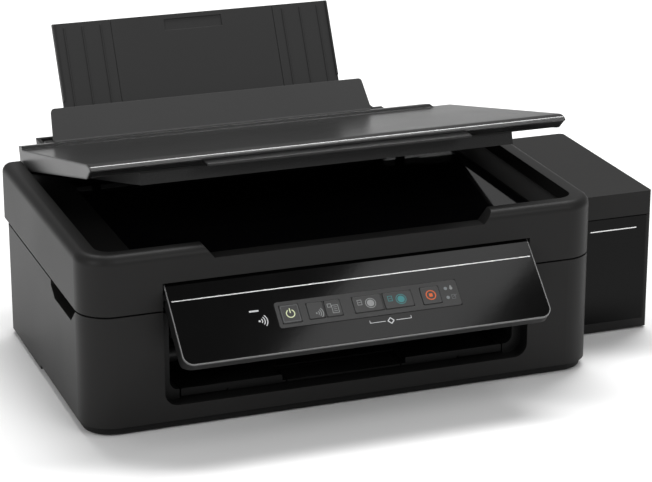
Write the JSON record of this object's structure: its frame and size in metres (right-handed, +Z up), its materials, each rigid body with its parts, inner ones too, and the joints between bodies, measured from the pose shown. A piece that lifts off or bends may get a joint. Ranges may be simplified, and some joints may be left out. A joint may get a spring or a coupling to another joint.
{
  "type": "inkjet printer",
  "caption": "Flatbed all-in-one inkjet printer with side ink tank, tilting control panel, rear paper feed and opening document cover.",
  "frame": {"origin": "centre of the whole object's box at the underside, on the surface that it stands on", "axes": "+X to the right seen from the front, +Y to the rear, +Z up"},
  "size_m": [0.466, 0.3712, 0.216],
  "materials": {
    "casing": "fine textured charcoal moulding",
    "dark_plastic": "fine textured dark moulding",
    "mat_foam": "soft foam",
    "rubber": "matte",
    "gloss_black": "polished black",
    "trim": "satin bright edge",
    "button_grey": "satin grey",
    "lamp": "clear lens",
    "steel": "zinc plated",
    "gear_plastic": "natural acetal",
    "board": "solder mask",
    "bed_glass": "flat polished glass over a dark bay",
    "tank_clear": "translucent"
  },
  "bodies": {
    "base": {"base_shell": "casing", "bottom_plate": "dark_plastic", "rubber_feet": "rubber", "output_bezel": "dark_plastic", "main_frame": "steel", "carriage_rail": "steel", "carriage_belt": "rubber", "carriage_motor": "steel", "platen": "dark_plastic", "maintenance_station": "dark_plastic", "circuit_board": "board", "waste_ink_pads": "mat_foam", "power_supply": "gear_plastic", "usb_socket": "steel", "feed_motor": "steel", "feeder_housing": "casing", "separation_pad": "rubber", "tank_case": "dark_plastic", "tank_front": "gloss_black", "ink_tanks": "tank_clear", "tank_caps": "rubber"},
    "belt_drive_pulley": {"motor_pulley": "gear_plastic"},
    "belt_idler_pulley": {"idler_pulley": "gear_plastic"},
    "carriage": {"ink_carriage": "dark_plastic", "print_head": "steel", "ink_dampers": "dark_plastic"},
    "feed_shaft": {"feed_roller": "steel"},
    "exit_shaft": {"exit_roller": "steel"},
    "idler": {"idler_gear": "gear_plastic"},
    "pinion": {"motor_pinion": "gear_plastic"},
    "pickup": {"pickup_roller": "rubber"},
    "hopper": {"hopper_plate": "dark_plastic"},
    "guide": {"edge_guide": "dark_plastic"},
    "support": {"paper_support": "dark_plastic"},
    "upper_support": {"support_extension": "dark_plastic"},
    "guard": {"feeder_guard": "dark_plastic"},
    "scanner": {"scanner_case": "casing", "scanner_floor": "dark_plastic", "scanner_glass": "bed_glass", "scan_rail": "steel"},
    "sensor": {"scan_bar": "dark_plastic"},
    "cover": {"document_cover": "casing", "lid_inner_panel": "dark_plastic", "lid_mat": "mat_foam"},
    "panel": {"panel_shell": "dark_plastic", "panel_fascia": "gloss_black", "panel_trim": "trim", "button_strip": "button_grey", "indicator_lamps": "lamp", "panel_board": "board"},
    "tray": {"output_tray": "dark_plastic"},
    "tray_second": {"tray_extension": "dark_plastic"},
    "stopper": {"tray_stopper": "dark_plastic"},
    "tank_lid": {"tank_cover": "dark_plastic"},
    "power_key": {"power_button": "button_grey"},
    "wireless_key": {"wireless_button": "button_grey"},
    "status_key": {"status_button": "button_grey"},
    "mono_copy_key": {"mono_copy_button": "button_grey"},
    "color_copy_key": {"color_copy_button": "button_grey"},
    "stop_key": {"stop_button": "button_grey"}
  },
  "joints": [
    {"name": "cover_hinge", "type": "hinge", "parent": "scanner", "child": "cover", "pos_m": [0, 0.09765, 0.133], "axis": [1, 0, 0], "range_deg": [-65, 15]},
    {"name": "scanner_hinge", "type": "hinge", "parent": "base", "child": "scanner", "pos_m": [0, 0.10665, 0.114], "axis": [-1, 0, 0], "range_deg": [0, 22]},
    {"name": "sensor_slide", "type": "slide", "parent": "scanner", "child": "sensor", "axis": [1, 0, 0], "range_m": [0, 0.27]},
    {"name": "panel_hinge", "type": "hinge", "parent": "base", "child": "panel", "pos_m": [0, -0.13615, 0.1053], "axis": [1, 0, 0], "range_deg": [-12, 48]},
    {"name": "power_press", "type": "slide", "parent": "panel", "child": "power_key", "axis": [0, 0.6691, -0.7431], "range_m": [0, 0.0008], "stiffness_N_per_m": 400},
    {"name": "wireless_press", "type": "slide", "parent": "panel", "child": "wireless_key", "axis": [0, 0.6691, -0.7431], "range_m": [0, 0.0008], "stiffness_N_per_m": 400},
    {"name": "status_press", "type": "slide", "parent": "panel", "child": "status_key", "axis": [0, 0.6691, -0.7431], "range_m": [0, 0.0008], "stiffness_N_per_m": 400},
    {"name": "mono_copy_press", "type": "slide", "parent": "panel", "child": "mono_copy_key", "axis": [0, 0.6691, -0.7431], "range_m": [0, 0.0008], "stiffness_N_per_m": 400},
    {"name": "color_copy_press", "type": "slide", "parent": "panel", "child": "color_copy_key", "axis": [0, 0.6691, -0.7431], "range_m": [0, 0.0008], "stiffness_N_per_m": 400},
    {"name": "stop_press", "type": "slide", "parent": "panel", "child": "stop_key", "axis": [0, 0.6691, -0.7431], "range_m": [0, 0.0008], "stiffness_N_per_m": 400},
    {"name": "feed_turn", "type": "hinge", "parent": "base", "child": "feed_shaft", "pos_m": [0, 0.00965, 0.034], "axis": [1, 0, 0], "continuous": true},
    {"name": "exit_turn", "type": "hinge", "parent": "base", "child": "exit_shaft", "pos_m": [0, -0.08235, 0.034], "axis": [1, 0, 0], "continuous": true},
    {"name": "idler_turn", "type": "hinge", "parent": "base", "child": "idler", "pos_m": [0, -0.03635, 0.034], "axis": [1, 0, 0], "continuous": true},
    {"name": "pinion_turn", "type": "hinge", "parent": "base", "child": "pinion", "pos_m": [0, 0.02507, 0.01562], "axis": [1, 0, 0], "continuous": true},
    {"name": "pickup_turn", "type": "hinge", "parent": "base", "child": "pickup", "pos_m": [0, 0.07865, 0.061], "axis": [1, 0, 0], "continuous": true},
    {"name": "carriage_slide", "type": "slide", "parent": "base", "child": "carriage", "axis": [-1, 0, 0], "range_m": [0, 0.25]},
    {"name": "drive_pulley_turn", "type": "hinge", "parent": "base", "child": "belt_drive_pulley", "pos_m": [-0.19801, 0.00565, 0.076], "axis": [0, 1, 0], "range_deg": [-10, 2200]},
    {"name": "idler_pulley_turn", "type": "hinge", "parent": "base", "child": "belt_idler_pulley", "pos_m": [0.12399, 0.00565, 0.076], "axis": [0, 1, 0], "range_deg": [-10, 2200]},
    {"name": "hopper_hinge", "type": "hinge", "parent": "base", "child": "hopper", "pos_m": [0, 0.13008, 0.119], "axis": [-1, 0, 0], "range_deg": [0, 3]},
    {"name": "guide_slide", "type": "slide", "parent": "hopper", "child": "guide", "axis": [1, 0, 0], "range_m": [0, 0.09]},
    {"name": "support_hinge", "type": "hinge", "parent": "base", "child": "support", "pos_m": [0, 0.14063, 0.13], "axis": [1, 0, 0], "range_deg": [0, 24]},
    {"name": "support_slide", "type": "slide", "parent": "support", "child": "upper_support", "axis": [0, 0.454, 0.891], "range_m": [0, 0.058]},
    {"name": "guard_hinge", "type": "hinge", "parent": "base", "child": "guard", "pos_m": [0, 0.11825, 0.1368], "axis": [1, 0, 0], "range_deg": [0, 35]},
    {"name": "tray_slide", "type": "slide", "parent": "base", "child": "tray", "axis": [0, -1, 0], "range_m": [0, 0.088]},
    {"name": "tray_extension_slide", "type": "slide", "parent": "tray", "child": "tray_second", "axis": [0, -1, 0], "range_m": [0, 0.08]},
    {"name": "stopper_hinge", "type": "hinge", "parent": "tray_second", "child": "stopper", "pos_m": [0, -0.10635, 0.0198], "axis": [-1, 0, 0], "range_deg": [0, 70]},
    {"name": "tank_cover_hinge", "type": "hinge", "parent": "base", "child": "tank_lid", "pos_m": [0.19599, 0.08015, 0.0964], "axis": [-1, 0, 0], "range_deg": [0, 90]}
  ],
  "couplings": [
    {"joint": "exit_turn", "follows": "feed_turn", "ratio": 1},
    {"joint": "idler_turn", "follows": "feed_turn", "ratio": -0.64286},
    {"joint": "pinion_turn", "follows": "feed_turn", "ratio": -3},
    {"joint": "drive_pulley_turn", "follows": "carriage_slide", "rad_per_m": 148.15},
    {"joint": "idler_pulley_turn", "follows": "carriage_slide", "rad_per_m": 148.15}
  ]
}
